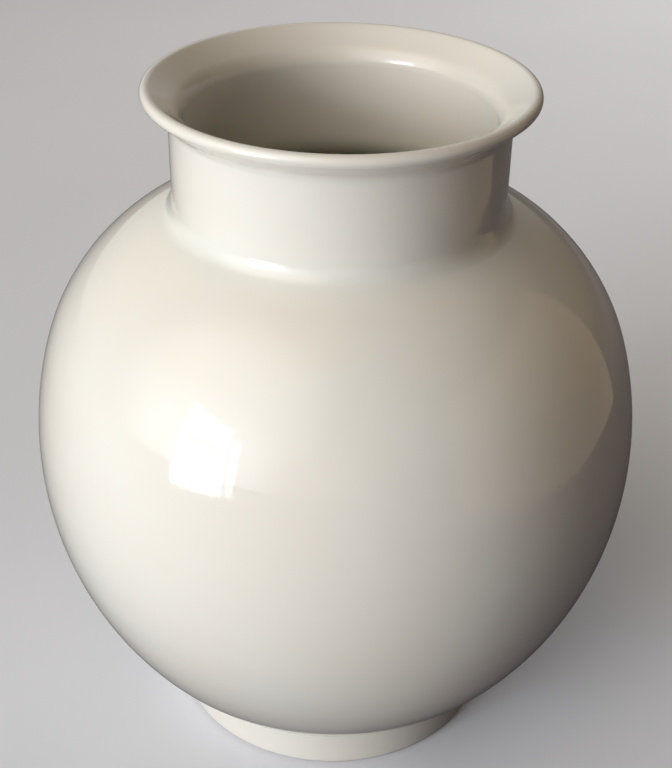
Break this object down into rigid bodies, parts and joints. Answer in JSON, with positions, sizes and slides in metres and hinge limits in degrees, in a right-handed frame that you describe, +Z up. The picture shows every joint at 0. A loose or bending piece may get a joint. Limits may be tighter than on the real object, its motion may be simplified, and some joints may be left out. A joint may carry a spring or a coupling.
{
  "type": "globular porcelain vase",
  "caption": "Round-bodied white glazed vase with a straight collar neck, a flared rim with a rounded lip, and a turned foot ring.",
  "frame": {"origin": "centre of the foot ring's seat, on the surface that the vase stands on", "axes": "+Z up along the turning axis, through the centre of the mouth; the vase is a solid of revolution, so +X and +Y are any two level directions at right angles"},
  "size_m": [0.193, 0.193, 0.22],
  "materials": {
    "porcelain_clay": "matt, unglazed, fired white porcelain",
    "outer_glaze": "glossy warm white glaze",
    "inner_glaze": "glossy white glaze, slightly greener where it pools inside"
  },
  "bodies": {
    "root": {"foot_ring": "porcelain_clay", "base_floor": "porcelain_clay", "lower_body": "porcelain_clay", "upper_body": "porcelain_clay", "neck": "porcelain_clay", "rim": "porcelain_clay", "outer_glaze": "outer_glaze", "inner_glaze": "inner_glaze", "recess_glaze": "outer_glaze"}
  },
  "joints": []
}
